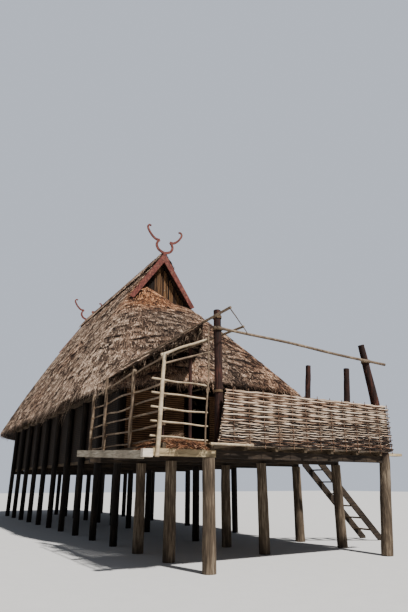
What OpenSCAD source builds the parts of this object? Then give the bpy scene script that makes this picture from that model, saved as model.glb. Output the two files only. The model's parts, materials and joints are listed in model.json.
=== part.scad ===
// Long thatched house on stilts, with an open deck, a woven fence and a side balcony.
// Origin at the foot of the near corner stilt, +X along the front, +Y along the ridge, +Z up.

/* [Deck and floor] */
// Distance between the left and right rows of stilts
deck_w = 4900; // [4200:50:6000]
// Spacing of the deck's stilts along the ridge direction
deck_bay = 1600; // [1300:50:2000]
// Height of the walking surface above the ground
floor_z = 2250; // [1900:50:2600]
// Thickness of the split bamboo floor
floor_t = 30; // [20:1:45]
// Height of the floor joists
joist_h = 90; // [70:5:120]
// Width of the floor joists
joist_w = 70; // [50:5:100]
// Height of the bearers that lie on the stilts
bearer_h = 150; // [110:5:200]
// Width of the bearers
bearer_w = 90; // [70:5:130]
// Radius of the stilts
stilt_r = 125; // [90:1:150]

/* [House body] */
// Number of bays between the front wall and the back wall
house_bays = 9; // [7:1:11]
// Radius of the house posts
post_r = 100; // [70:1:130]
// Height of the top of the wall posts
post_top = 4100; // [3900:20:4150]
// Thickness of the walls
wall_t = 40; // [25:1:60]
// Width of the doorway in the front wall
door_w = 900; // [700:10:1200]
// Height of the doorway above the floor
door_h = 1750; // [1500:10:1800]
// Radius of the wall plates
plate_r = 60; // [45:1:80]

/* [Roof] */
// Height of the outer apex of the thatch
ridge_z = 10050; // [9400:50:10500]
// Height of the eave's outer edge
eave_z = 3940; // [3700:20:4200]
// How far the long eaves stand out past the rows of stilts
eave_out = 1020; // [800:10:1300]
// How far the slopes bulge outward from a straight line
bulge = 170; // [80:10:260]
// Thickness of the thatch
thatch_t = 190; // [120:5:240]
// Thickness of the thatch wing over the balcony
wing_t = 90; // [60:5:140]
// Length of the ridge between the two gables
ridge_len = 9650; // [8000:50:11000]
// Distance from the deck's front to the near gable's boards
gable_y = 7430; // [7000:10:7900]
// How far the gable's top stands out over the end thatch
verge = 300; // [150:10:450]
// Share of the slope that the small gable takes
gable_share = 0.345; // [0.3:0.005:0.4]
// Depth of each rounded roof end at the eave
apse_depth = 5800; // [5000:50:6300]
// Depth of each rounded roof end at the foot of the small gable
apse_top = 330; // [200:10:500]
// How square the rounded ends are in plan, 2 being an ellipse
apse_square = 2.9; // [2:0.1:4]
// Size of the square rafters
rafter_w = 80; // [60:2:110]
// Number of rafters along each long slope
rafter_count = 10; // [6:1:14]
// Radius of the poles that run along the slopes
purlin_r = 35; // [25:1:45]
// Radius of the ridge pole
ridge_r = 70; // [50:1:90]

/* [Gable trim] */
// Width of the barge boards
barge_w = 175; // [130:5:250]
// Thickness of the barge boards
barge_t = 40; // [25:1:60]
// Overall half width of the curled horns
horn_half = 800; // [600:10:900]
// Height of the curled horns above the apex
horn_h = 1150; // [800:10:1300]
// Width of the horns at their root
horn_w = 105; // [80:5:140]

/* [Fence] */
// Height of the woven fence
fence_h = 1060; // [800:10:1200]
// Number of upright stakes
stake_count = 13; // [9:1:17]
// Radius of the stakes
stake_r = 14; // [10:1:20]
// Number of woven rows
row_count = 16; // [10:1:18]
// Thickness of a woven row
row_t = 18; // [12:1:24]

/* [Balcony] */
// How far the balcony stands out from the deck
balcony_out = 980; // [700:10:1200]
// Length of the balcony along the deck
balcony_len = 4300; // [3000:50:4500]
// Radius of the balcony's bamboo uprights
bamboo_r = 40; // [30:1:55]
// Radius of the balcony's rails
rail_r = 22; // [15:1:30]
// Number of rails
rail_count = 5; // [3:1:6]
// Height from one rail to the next
rail_pitch = 265; // [200:5:300]
// How far the bearers stand out past the balcony
bearer_out = 330; // [100:10:450]

/* [Front posts] */
// Height of the tall corner post's top
tall_top = 5060; // [4700:10:5300]
// Radius of the tall corner post
tall_r = 90; // [70:1:110]
// Height of the right corner post's top
corner_top = 4850; // [4500:10:5200]
// Height of the corner post's bend above the floor
elbow_h = 1150; // [900:10:1400]
// Height of the near stub post above the floor
stub_near_h = 2200; // [1800:10:2600]
// Height of the far stub post above the floor
stub_far_h = 2600; // [2000:10:2900]
// Radius of the stub posts
stub_r = 85; // [65:1:110]

/* [Stair] */
// Horizontal reach of the stair from the deck's edge
stair_run = 2250; // [1800:50:2700]
// Clear width between the stringers
stair_w = 620; // [500:10:800]
// Depth of the stringer planks
stringer_d = 190; // [150:5:240]
// Number of treads
tread_count = 6; // [4:1:8]

/* [Hidden] */
$fn = 24;
seat = 0.3;

dark_timber = "#3a2a24";
grey_timber = "#7d7263";
red_timber = "#7a3c34";
bamboo = "#b3a48a";
straw = "#8f7a66";
twig = "#c0b09a";

mid_x = deck_w / 2;
eave_half = mid_x + eave_out;
stilt_top = floor_z - floor_t - joist_h - bearer_h;
joist_z = floor_z - floor_t - joist_h;
house_y = 3 * deck_bay;
roof_mid_y = gable_y + ridge_len / 2;
house_len = 2 * (roof_mid_y - house_y);
house_bay = house_len / house_bays;
house_end = house_y + house_len;
deck_end = house_y - bearer_w / 2 - seat;
deck_edge = 80;
front_edge = stilt_r + 25;
wall_in = post_r + seat;
wall_top = post_top - seat;
rise = ridge_z - eave_z;
pitch = atan(rise / eave_half);
slope_steps = 6;
end_steps = 16;
near_end_y = gable_y + verge;
far_end_y = gable_y + ridge_len - verge;
under = thatch_t + seat;
purlin_d = under + purlin_r;
rafter_d = under + 2 * purlin_r + seat;
rafter_in = rafter_d + rafter_w;
top_slope = atan((rise - 4 * bulge * cos(pitch)) / (eave_half + 4 * bulge * sin(pitch)));

// Runs a flat outline, drawn as X and Z, from y0 to y1
module along_y(y0, y1) {
    translate([0, y1, 0])
        rotate([90, 0, 0])
            linear_extrude(y1 - y0)
                children();
}

// A round pole between two points
module pole(a, b, r) {
    d = b - a;
    len = norm(d);
    flat = norm([d.x, d.y]);
    translate(a)
        rotate([0, 0, atan2(d.y, d.x)])
            rotate([0, atan2(flat, d.z), 0])
                cylinder(h = len, r = r);
}

// Ring of points round a path point, in the plane across the path's main direction
function ring(p, r, sides) = [
    for (k = [0 : sides - 1])
        [p.x + r * cos(360 * k / sides), p.y + r * sin(360 * k / sides), p.z]
];

// Closed faces for a stack of rings
function tube_faces(rings, sides) = concat(
    [[for (k = [0 : sides - 1]) k]],
    [for (i = [0 : rings - 2]) for (k = [0 : sides - 1])
        [i * sides + k, (i + 1) * sides + k, (i + 1) * sides + (k + 1) % sides, i * sides + (k + 1) % sides]],
    [[for (k = [sides - 1 : -1 : 0]) (rings - 1) * sides + k]]
);

// Crooked upright log with level rings at the given points
module crooked_log(points, radii, sides = 12) {
    polyhedron(
        points = [for (i = [0 : len(points) - 1]) each ring(points[i], radii[i], sides)],
        faces = tube_faces(len(points), sides),
        convexity = 4
    );
}

// Point of the roof's cross section: t runs from ridge to eave, d is depth below the outer face
function roof_w(t, d) = eave_half * t + (4 * bulge * t * (1 - t) - d) * sin(pitch);
function roof_z(t, d) = ridge_z - rise * t + (4 * bulge * t * (1 - t) - d) * cos(pitch);
function slope_t(i, t0, t1) = t0 + (t1 - t0) * i / slope_steps;

// Strip of the slope between two depths, right half, cut off at the middle
module slope_band(d0, d1, t0, t1) {
    intersection() {
        polygon(concat(
            [for (i = [0 : slope_steps]) let (t = slope_t(i, t0, t1)) [roof_w(t, d0), roof_z(t, d0)]],
            [for (i = [slope_steps : -1 : 0]) let (t = slope_t(i, t0, t1)) [roof_w(t, d1), roof_z(t, d1)]]
        ));
        translate([seat / 2, 0])
            square([2 * eave_half, 2 * ridge_z]);
    }
}

module right_half() {
    translate([mid_x, 0, 0])
        children();
}

module left_half() {
    translate([mid_x, 0, 0])
        mirror([1, 0, 0])
            children();
}

module side_thatch() {
    along_y(near_end_y, far_end_y)
        union() {
            slope_band(0, thatch_t, 0, gable_share);
            slope_band(0, thatch_t, gable_share, 1);
        }
    along_y(gable_y, near_end_y + seat)
        slope_band(0, thatch_t, 0, gable_share);
    along_y(far_end_y - seat, gable_y + ridge_len)
        slope_band(0, thatch_t, 0, gable_share);
}

// Depth of the rounded end at a place on the slope
apse_curve = 0.95;
function end_b(t) =
    apse_top + (apse_depth - apse_top) * pow((t - gable_share) / (1 - gable_share), apse_curve);
function squared(v) = sign(v) * pow(abs(v), 2 / apse_square);
function on_end(t, a, d) = [
    roof_w(t, d) * squared(cos(a)),
    -(end_b(t) - d * sin(pitch)) * squared(sin(a)),
    roof_z(t, d)
];

// Turns in even steps of distance round the squared plan, closer together at its corners
function end_angle(j) = let (k = 2 * j / end_steps - 1) 90 + 90 * sign(k) * pow(abs(k), 1.5);
function end_point(i, j, d) = on_end(slope_t(i, gable_share, 1), end_angle(j), d);

// Rounded roof end as a shell lofted from the gable's foot to the eave
module roof_end(d0, d1) {
    cols = end_steps + 1;
    grid = (slope_steps + 1) * cols;
    top = [for (j = [0 : end_steps - 1]) each [[j, j + 1, grid + j], [j + 1, grid + j + 1, grid + j]]];
    low = slope_steps * cols;
    foot = [for (j = [0 : end_steps - 1])
        each [[low + j, grid + low + j, low + j + 1], [low + j + 1, grid + low + j, grid + low + j + 1]]];
    outer = [for (i = [0 : slope_steps - 1]) for (j = [0 : end_steps - 1])
        let (a = i * cols + j, b = a + cols) each [[a, b, a + 1], [a + 1, b, b + 1]]];
    inner = [for (f = outer) [grid + f[2], grid + f[1], grid + f[0]]];
    side0 = [for (i = [0 : slope_steps - 1])
        let (a = i * cols, b = a + cols) each [[a, grid + a, b], [b, grid + a, grid + b]]];
    side1 = [for (i = [0 : slope_steps - 1])
        let (a = i * cols + end_steps, b = a + cols) each [[a, b, grid + a], [b, grid + b, grid + a]]];
    polyhedron(
        points = concat(
            [for (i = [0 : slope_steps]) for (j = [0 : end_steps]) end_point(i, j, d0)],
            [for (i = [0 : slope_steps]) for (j = [0 : end_steps]) end_point(i, j, d1)]
        ),
        faces = concat(outer, inner, top, foot, side0, side1),
        convexity = 6
    );
}

// Rounded end with a flat shelf of thatch at the small gable's foot
shelf_t = 60;
module closed_end() {
    top_z = roof_z(gable_share, 0);
    union() {
        roof_end(0, thatch_t);
        intersection() {
            end_body(0);
            translate([-eave_half, -apse_depth, top_z - shelf_t])
                cube([2 * eave_half, apse_depth, 2 * shelf_t]);
        }
    }
}

module at_front_end() {
    translate([mid_x, near_end_y - seat, 0])
        children();
}

module at_back_end() {
    translate([mid_x, far_end_y + seat, 0])
        mirror([0, 1, 0])
            children();
}

tall_x = 300;
tall_y = 110;
module tall_corner_post() {
    color(dark_timber)
        crooked_log(
            [
                [tall_x, tall_y, floor_z + seat],
                [tall_x + 15, tall_y, floor_z + 1200],
                [tall_x - 10, tall_y, tall_top]
            ],
            [tall_r, tall_r * 0.95, tall_r * 0.85]
        );
}

corner_in = 340;
corner_foot_in = 250;
corner_foot_x = deck_w - corner_foot_in;
corner_top_x = deck_w - corner_in;
corner_mid_x = deck_w - 60;
corner_mid_z = floor_z + elbow_h;
corner_stilt_x = deck_w + 30;
module right_corner_post() {
    color(dark_timber)
        crooked_log(
            [
                [corner_foot_x, 0, 0],
                [corner_stilt_x, 0, stilt_top],
                [corner_stilt_x, 0, joist_z],
                [corner_mid_x, 0, corner_mid_z],
                [corner_top_x, 0, corner_top]
            ],
            [stilt_r * 1.05, stilt_r, stilt_r, stilt_r * 0.85, stilt_r * 0.6]
        );
}

// Two stubs lean in from the right edge, and two thin posts stand under the wing
stub_near_y = 900;
stub_far_y = 2450;
stub_lean = 80;
thin_r = 45;
thin_drop = 400;
thin_top = tall_top - thin_drop;
thin_at = [[600, 1850], [90, 2280]];
module deck_stub_posts() {
    color(dark_timber) {
        crooked_log(
            [
                [deck_w - stub_r, stub_near_y, floor_z + seat],
                [deck_w - stub_r + stub_lean, stub_near_y, floor_z + stub_near_h]
            ],
            [stub_r, stub_r * 0.9]
        );
        crooked_log(
            [
                [deck_w - stub_r, stub_far_y, floor_z + seat],
                [deck_w + stub_lean, stub_far_y, floor_z + stub_far_h]
            ],
            [stub_r, stub_r * 0.9]
        );
        for (p = thin_at)
            translate([p[0], p[1], floor_z + seat])
                cylinder(h = thin_top - floor_z, r = thin_r);
    }
}

module deck_stilts() {
    color(grey_timber)
        for (p = [[0, 0], [0, 1], [0, 2], [mid_x, 1], [mid_x, 2], [deck_w, 1], [deck_w, 2]])
            translate([p[0], p[1] * deck_bay, 0])
                cylinder(h = stilt_top, r1 = stilt_r * 1.06, r2 = stilt_r * 0.94);
}

// Bearers run out past the deck on the left to carry the balcony
module deck_bearers() {
    left = -balcony_out - bearer_out;
    right = [corner_stilt_x - stilt_r - seat, deck_w + deck_edge, deck_w + deck_edge];
    color(grey_timber)
        for (i = [0 : 2])
            translate([left, i * deck_bay - bearer_w / 2, stilt_top])
                cube([right[i] - left, bearer_w, bearer_h]);
}

module deck_joists() {
    color(grey_timber)
        for (i = [0 : 6])
            translate([i * (deck_w - 2 * stilt_r) / 6 - joist_w / 2, -front_edge, joist_z])
                cube([joist_w, house_y - post_r - seat + front_edge, joist_h]);
}

// The floor is notched round the leaning corner post and the first house posts
module deck_floor() {
    color(bamboo)
        difference() {
            translate([-deck_edge, -front_edge, floor_z - floor_t])
                cube([deck_w + 2 * deck_edge, deck_end + front_edge, floor_t]);
            translate([corner_stilt_x - 10, 0, floor_z - 2 * floor_t])
                cylinder(h = 4 * floor_t, r = stilt_r + 12);
            for (x = [0, deck_w])
                translate([x, house_y, floor_z - 2 * floor_t])
                    cylinder(h = 4 * floor_t, r = post_r + seat);
        }
}

module post_row(x, top) {
    for (i = [0 : house_bays])
        translate([x, house_y + i * house_bay, 0])
            cylinder(h = top, r = post_r);
}

module house_posts_left() {
    color(grey_timber)
        post_row(0, post_top);
}

module house_posts_right() {
    color(grey_timber)
        post_row(deck_w, post_top);
}

module house_stilts_middle() {
    color(grey_timber)
        post_row(mid_x, stilt_top);
}

// Bearers run between the side posts and lie on the middle stilts
module house_bearers() {
    color(grey_timber)
        for (i = [0 : house_bays])
            translate([wall_in, house_y + i * house_bay - bearer_w / 2, stilt_top])
                cube([deck_w - 2 * wall_in, bearer_w, bearer_h]);
}

module house_joists() {
    color(grey_timber)
        for (i = [0 : 6])
            translate([wall_in + (deck_w - 2 * wall_in - joist_w) * i / 6, house_y - bearer_w / 2, joist_z])
                cube([joist_w, house_len + bearer_w, joist_h]);
}

module house_floor() {
    color(bamboo)
        translate([wall_in, house_y - bearer_w / 2, floor_z - floor_t])
            cube([deck_w - 2 * wall_in, house_len + bearer_w, floor_t]);
}

module side_wall() {
    translate([wall_in, house_y - bearer_w / 2, floor_z])
        cube([wall_t, house_len + bearer_w, wall_top - floor_z]);
}

module left_wall() {
    color(bamboo)
        side_wall();
}

module right_wall() {
    color(bamboo)
        translate([deck_w, 0, 0])
            mirror([1, 0, 0])
                side_wall();
}

// End walls stand between the side walls, flush with the floor's ends
cross_x = wall_in + wall_t;
cross_w = deck_w - 2 * cross_x;
front_wall_y = house_y - bearer_w / 2;
module back_wall() {
    color(bamboo)
        translate([cross_x, house_end + bearer_w / 2 - wall_t, floor_z])
            cube([cross_w, wall_t, wall_top - floor_z]);
}

module front_wall_left() {
    color(bamboo)
        translate([cross_x, front_wall_y, floor_z])
            cube([(cross_w - door_w) / 2, wall_t, wall_top - floor_z]);
}

module front_wall_right() {
    color(bamboo)
        translate([cross_x + (cross_w + door_w) / 2, front_wall_y, floor_z])
            cube([(cross_w - door_w) / 2, wall_t, wall_top - floor_z]);
}

module front_wall_head() {
    color(bamboo)
        translate([cross_x + (cross_w - door_w) / 2, front_wall_y, floor_z + door_h])
            cube([door_w, wall_t, wall_top - floor_z - door_h]);
}

module wall_plates() {
    color(grey_timber)
        for (x = [0, deck_w])
            translate([x - plate_r, house_y - post_r, post_top])
                cube([2 * plate_r, house_len + 2 * post_r, 2 * plate_r]);
}

// Place on the slope where a depth d is at a height z
function t_at_z(z, d, lo = 0, hi = 1, n = 24) =
    let (m = (lo + hi) / 2)
    n == 0 ? m : roof_z(m, d) > z ? t_at_z(z, d, m, hi, n - 1) : t_at_z(z, d, lo, m, n - 1);

tie_z = post_top + 2 * plate_r;
tie_h = 2 * plate_r;
tie_half = roof_w(t_at_z(tie_z + tie_h, rafter_in), rafter_in) - 2;
peak_t = rafter_in * sin(pitch) / (eave_half + 4 * bulge * sin(pitch));
king_top = roof_z(peak_t, rafter_in) - (ridge_r + seat) / cos(top_slope) - ridge_r;

// Beams cross the house on the plates, and those under the long slopes reach out to the rafters
module tie_beams() {
    color(grey_timber)
        for (i = [1 : house_bays - 1]) {
            y = house_y + i * house_bay;
            half = y > near_end_y && y < far_end_y ? tie_half : mid_x + plate_r;
            translate([mid_x - half, y - joist_w / 2, tie_z])
                cube([2 * half, joist_w, tie_h]);
        }
}

module king_posts() {
    color(grey_timber)
        for (i = [1 : house_bays - 1]) {
            y = house_y + i * house_bay;
            if (y > near_end_y && y < far_end_y)
                translate([mid_x, y, tie_z + tie_h])
                    cylinder(h = king_top - tie_z - tie_h, r = ridge_r);
        }
}

module ridge_pole() {
    color(grey_timber)
        translate([mid_x, gable_y + verge, king_top + ridge_r])
            rotate([-90, 0, 0])
                cylinder(h = ridge_len - 2 * verge, r = ridge_r);
}

rafter_start = 0.03;
// Square rafters follow the slope's curve and are spaced evenly along the ridge
module rafters() {
    for (i = [0 : rafter_count - 1]) {
        y = near_end_y + rafter_w + (ridge_len - 2 * verge - 3 * rafter_w) * i / (rafter_count - 1);
        along_y(y, y + rafter_w)
            union() {
                slope_band(rafter_d, rafter_in, rafter_start, gable_share);
                slope_band(rafter_d, rafter_in, gable_share, 1);
            }
    }
}

module rafters_left() {
    color(grey_timber)
        left_half()
            rafters();
}

module rafters_right() {
    color(grey_timber)
        right_half()
            rafters();
}

// Poles lie between the rafters and the thatch
module purlins() {
    steps = concat(
        [for (i = [2 : 2 : slope_steps]) slope_t(i, 0, gable_share)],
        [for (i = [1 : slope_steps - 1]) slope_t(i, gable_share, 1)]
    );
    for (t = steps)
        translate([roof_w(t, purlin_d), near_end_y, roof_z(t, purlin_d)])
            rotate([-90, 0, 0])
                cylinder(h = ridge_len - 2 * verge, r = purlin_r);
}

module purlins_left() {
    color(bamboo)
        left_half()
            purlins();
}

module purlins_right() {
    color(bamboo)
        right_half()
            purlins();
}

module thatch_left() {
    color(straw)
        left_half()
            side_thatch();
}

module thatch_right() {
    color(straw)
        right_half()
            side_thatch();
}

module thatch_front_end() {
    color(straw)
        at_front_end()
            closed_end();
}

module thatch_back_end() {
    color(straw)
        at_back_end()
            closed_end();
}

cap_t = 70;
cap_share = 0.07;
module ridge_cap() {
    color(straw)
        translate([mid_x, 0, 0])
            along_y(gable_y, gable_y + ridge_len)
                polygon([
                    [0, ridge_z + cap_t / cos(pitch)],
                    [roof_w(cap_share, -cap_t), roof_z(cap_share, -cap_t)],
                    [roof_w(cap_share, -seat), roof_z(cap_share, -seat)],
                    [roof_w(0, -seat), roof_z(0, -seat)],
                    [-roof_w(0, -seat), roof_z(0, -seat)],
                    [-roof_w(cap_share, -seat), roof_z(cap_share, -seat)],
                    [-roof_w(cap_share, -cap_t), roof_z(cap_share, -cap_t)]
                ]);
}

// Reed screen closes the small gable behind the barge boards
screen_t = 40;
module gable_screen() {
    intersection() {
        polygon([
            [0, ridge_z - (thatch_t + 2 * seat) / cos(top_slope)],
            [roof_w(gable_share, under), roof_z(gable_share, under)],
            [-roof_w(gable_share, under), roof_z(gable_share, under)]
        ]);
        translate([-eave_half, roof_z(gable_share, 0) + seat])
            square([2 * eave_half, rise]);
    }
}

module front_gable_screen() {
    color(straw)
        translate([mid_x, 0, 0])
            along_y(near_end_y - screen_t - 2 * seat, near_end_y - 2 * seat)
                gable_screen();
}

module back_gable_screen() {
    color(straw)
        translate([mid_x, 0, 0])
            along_y(far_end_y + 2 * seat, far_end_y + screen_t + 2 * seat)
                gable_screen();
}

// Curve through a list of points, with its width falling evenly from w0 to w1
function spline(p, i, f) =
    let (a = p[max(i - 1, 0)], b = p[i], c = p[i + 1], d = p[min(i + 2, len(p) - 1)])
    0.5 * (2 * b + (c - a) * f + (2 * a - 5 * b + 4 * c - d) * f * f + (3 * b - a - 3 * c + d) * f * f * f);
function smooth(p, n) = concat(
    [for (i = [0 : len(p) - 2]) for (k = [0 : n - 1]) spline(p, i, k / n)],
    [p[len(p) - 1]]
);
function beside(q, i, w) =
    let (d = q[min(i + 1, len(q) - 1)] - q[max(i - 1, 0)])
    q[i] + w / norm(d) * [-d.y, d.x];
module ribbon(path, w0, w1, n = 4) {
    q = smooth(path, n);
    last = len(q) - 1;
    polygon(concat(
        [for (i = [0 : last]) beside(q, i, (w0 + (w1 - w0) * i / last) / 2)],
        [for (i = [last : -1 : 0]) beside(q, i, -(w0 + (w1 - w0) * i / last) / 2)]
    ));
}

// One horn of the finial: a cup from the apex up to a cusp, then a long blade that curls in at its tip
horn_kx = horn_half / 800;
horn_kz = horn_h / 1150;
function horn_points(p) = [for (q = p) [q.x * horn_kx, q.y * horn_kz]];
module horn() {
    cup = [[-30, 20], [120, 60], [270, 150], [345, 310], [310, 450], [225, 545]];
    blade = [[225, 545], [400, 560], [560, 680], [690, 850], [750, 1000], [700, 1100], [610, 1085]];
    ribbon(horn_points(cup), horn_w, horn_w * 0.8);
    ribbon(horn_points(blade), horn_w * 0.9, horn_w * 0.6);
}

module front_barge_boards() {
    color(red_timber)
        translate([mid_x, 0, 0])
            finial(gable_y - barge_t - seat);
}

module back_barge_boards() {
    color(red_timber)
        translate([mid_x, 0, 0])
            finial(gable_y + ridge_len + seat);
}

// Two boards along the verge, crossed at the apex and drawn out into horns
module finial(y0) {
    along_y(y0, y0 + barge_t)
        union() {
            for (m = [0, 1])
                mirror([m, 0])
                    union() {
                        verge_board();
                        translate([0, ridge_z])
                            horn();
                    }
        }
}

module verge_board() {
    polygon([
        [-10, ridge_z + 60],
        [roof_w(gable_share, -35), roof_z(gable_share, -35)],
        [roof_w(gable_share, barge_w - 35), roof_z(gable_share, barge_w - 35)],
        [-10, ridge_z - barge_w / cos(pitch)]
    ]);
}

// The wing's pole is lashed beside the tall post's head and runs down to the left eave
function mix_points(a, b, t) = a + (b - a) * t;
pole_drop = 160;
pole_head = [tall_x - 0.86 * tall_r - 1.02 * (rail_r + seat) - 8, tall_y, tall_top - pole_drop];
pole_tail = [mid_x - eave_half - 30, gable_y - 60, eave_z + 20];
wing_hang = [-90, 0, wing_t - 30];
wing_steps = 8;
function wing_outer(u) = mix_points(pole_head, pole_tail, 0.06 + 0.93 * u) + wing_hang;
wing_in_t = [0.763, 0.93];
wing_in_a = [93, 179];
function wing_inner(u) =
    let (t = mix_points(wing_in_t[0], wing_in_t[1], u), a = mix_points(wing_in_a[0], wing_in_a[1], u))
    [mid_x, near_end_y, 0] + on_end(t, a, thatch_t / 2);

// Wing of thatch from the pole back up to the rounded end
module wing_sheet() {
    cols = wing_steps + 1;
    outer = [for (i = [0 : wing_steps]) wing_outer(i / wing_steps)];
    inner = [for (i = [0 : wing_steps]) wing_inner(i / wing_steps)];
    drop = [0, 0, wing_t];
    pts = concat(outer, inner, [for (p = outer) p - drop], [for (p = inner) p - drop]);
    top = [for (i = [0 : wing_steps - 1]) each [[i, i + 1, cols + i], [i + 1, cols + i + 1, cols + i]]];
    bottom = [for (f = top) [2 * cols + f[2], 2 * cols + f[1], 2 * cols + f[0]]];
    edge_out = [for (i = [0 : wing_steps - 1])
        each [[i, 2 * cols + i, i + 1], [i + 1, 2 * cols + i, 2 * cols + i + 1]]];
    edge_in = [for (i = [0 : wing_steps - 1])
        let (a = cols + i, b = 3 * cols + i) each [[a, a + 1, b], [a + 1, b + 1, b]]];
    ends = [
        [0, cols, 2 * cols], [cols, 3 * cols, 2 * cols],
        [wing_steps, 2 * cols + wing_steps, cols + wing_steps],
        [cols + wing_steps, 2 * cols + wing_steps, 3 * cols + wing_steps]
    ];
    polyhedron(points = pts, faces = concat(top, bottom, edge_out, edge_in, ends), convexity = 4);
}

// Filled form of a rounded roof end, grown outward
module end_body(grow) {
    cols = end_steps + 1;
    low = slope_steps * cols;
    outer = [for (i = [0 : slope_steps - 1]) for (j = [0 : end_steps - 1])
        let (a = i * cols + j, b = a + cols) each [[a, b, a + 1], [a + 1, b, b + 1]]];
    top = [for (j = [0 : end_steps]) j];
    foot = [for (j = [end_steps : -1 : 0]) low + j];
    back = concat(
        [for (i = [0 : slope_steps]) i * cols + end_steps],
        [for (i = [slope_steps : -1 : 0]) i * cols]
    );
    polyhedron(
        points = [for (i = [0 : slope_steps]) for (j = [0 : end_steps]) end_point(i, j, -grow)],
        faces = concat(outer, [top, foot, back]),
        convexity = 6
    );
}

// The main roof's front end and left slope, filled in and grown by the seat
module roof_body(grow) {
    at_front_end()
        translate([0, 1, 0])
            end_body(grow);
    left_half()
        along_y(near_end_y - 1, far_end_y)
            slope_band(-grow, 3 * thatch_t, gable_share, 1);
}

module wing_thatch() {
    color(straw)
        difference() {
            wing_sheet();
            roof_body(seat);
            wing_pole(seat);
        }
}

module wing_pole(grow) {
    pole(mix_points(pole_head, pole_tail, -0.075), mix_points(pole_head, pole_tail, 0.7), rail_r + grow);
}

// The pole's far end stops against the rounded end's thatch
module wing_poles() {
    color(bamboo)
        difference() {
            wing_pole(0);
            roof_body(seat);
        }
}

balcony_x = -balcony_out;
balcony_y = 120;
beam_h = 90;
balcony_end = balcony_y + balcony_len;
module balcony_beams() {
    color(grey_timber)
        translate([balcony_x - joist_w / 2, -60, joist_z])
            cube([joist_w, balcony_end + 120, beam_h]);
}

module balcony_floor() {
    color(bamboo)
        translate([balcony_x + joist_w / 2 + seat, balcony_y, joist_z])
            cube([balcony_out - joist_w / 2 - deck_edge - 2 * seat, balcony_len, floor_t]);
}

// Uprights stand on the edge beam
balcony_posts_at = [[60, 1700], [1600, 1690], [3250, 1780], [4250, 1510]];
module balcony_posts() {
    color(bamboo)
        for (p = balcony_posts_at)
            translate([balcony_x, p[0], joist_z + beam_h])
                cylinder(h = p[1], r = bamboo_r);
}

module balcony_rails() {
    color(bamboo)
        for (i = [0 : rail_count - 1])
            translate([balcony_x + bamboo_r + rail_r + seat, balcony_y - 40, floor_z + 60 + rail_pitch * i])
                rotate([-90, 0, 0])
                    cylinder(h = balcony_len + 60, r = rail_r);
}

// Fence along the front edge of the deck
fence_x0 = 430;
fence_x1 = deck_w + 200;
fence_y = -front_edge - stake_r - seat;
stake_gap = (fence_x1 - fence_x0 - 120) / (stake_count - 1);
row_pitch = (fence_h - 30) / row_count;
function stake_x(i) = fence_x0 + 60 + i * stake_gap;
stake_foot = 70;
module fence_stakes() {
    color(twig)
        for (i = [0 : stake_count - 1])
            translate([stake_x(i), fence_y, floor_z - stake_foot])
                cylinder(h = fence_h + stake_foot + 60, r = stake_r);
}

// A woven row passes each stake on alternate sides
module woven_row(k) {
    z = floor_z + 40 + (k + 0.5) * row_pitch;
    off = stake_r + row_t / 2 + seat;
    land = stake_r + 8;
    start = fence_x0 - 200 * (1 - k / row_count);
    side = k % 2 == 0 ? 1 : -1;
    path = concat(
        [[start, fence_y + side * off]],
        [for (i = [0 : stake_count - 1])
            let (y = fence_y + side * (i % 2 == 0 ? off : -off))
            each [[stake_x(i) - land, y], [stake_x(i) + land, y]]],
        [[fence_x1, fence_y + side * (stake_count % 2 == 1 ? off : -off)]]
    );
    section = [for (a = [0 : 60 : 300]) [row_t / 2 * cos(a), 0.46 * row_pitch * sin(a)]];
    polyhedron(
        points = [for (p = path) each [for (s = section) [p[0], p[1] + s[0], z + s[1]]]],
        faces = tube_faces(len(path), 6),
        convexity = 6
    );
}

module fence_wattle() {
    color(twig)
        for (k = [0 : row_count - 1])
            woven_row(k);
}

fence_rail_len = 1000;
module fence_rails() {
    color(twig)
        translate([-deck_edge, fence_y - stake_r - rail_r - seat, floor_z - rail_r])
            rotate([0, 90, 0])
                cylinder(h = fence_rail_len, r = rail_r);
}

// Long pole lashed in front of the tall post and the leaning corner post
front_pole_r = 32;
module front_pole() {
    z0 = tall_top - 420;
    z1 = corner_top - 430;
    lean = (corner_top - z1) / (corner_top - corner_mid_z);
    corner_r = stilt_r * (0.6 + 0.25 * lean);
    a = [tall_x, tall_y - tall_r * 0.868 - front_pole_r - 2 * seat, z0];
    b = [corner_top_x + (corner_mid_x - corner_top_x) * lean, -corner_r - front_pole_r - 2 * seat, z1];
    color(bamboo)
        pole(a - 0.03 * (b - a), b + 0.13 * (b - a), front_pole_r);
}

stair_y = 2 * deck_bay - 900;
stair_x = deck_w + deck_edge + seat;
stair_top = floor_z;
module stair_stringers() {
    color(grey_timber)
        for (y = [stair_y, stair_y + stair_w + 45])
            along_y(y, y + 45)
                polygon([
                    [stair_x, stair_top],
                    [stair_x, stair_top - stringer_d * 1.3],
                    [stair_x + stair_run - stringer_d, 0],
                    [stair_x + stair_run, 0],
                    [stair_x + stair_run, 60]
                ]);
}

module stair_treads() {
    color(grey_timber)
        for (i = [1 : tread_count]) {
            f = i / (tread_count + 1);
            translate([stair_x + stair_run * f - 110, stair_y + 45, stair_top * (1 - f) - 60])
                cube([140, stair_w, 35]);
        }
}

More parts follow.
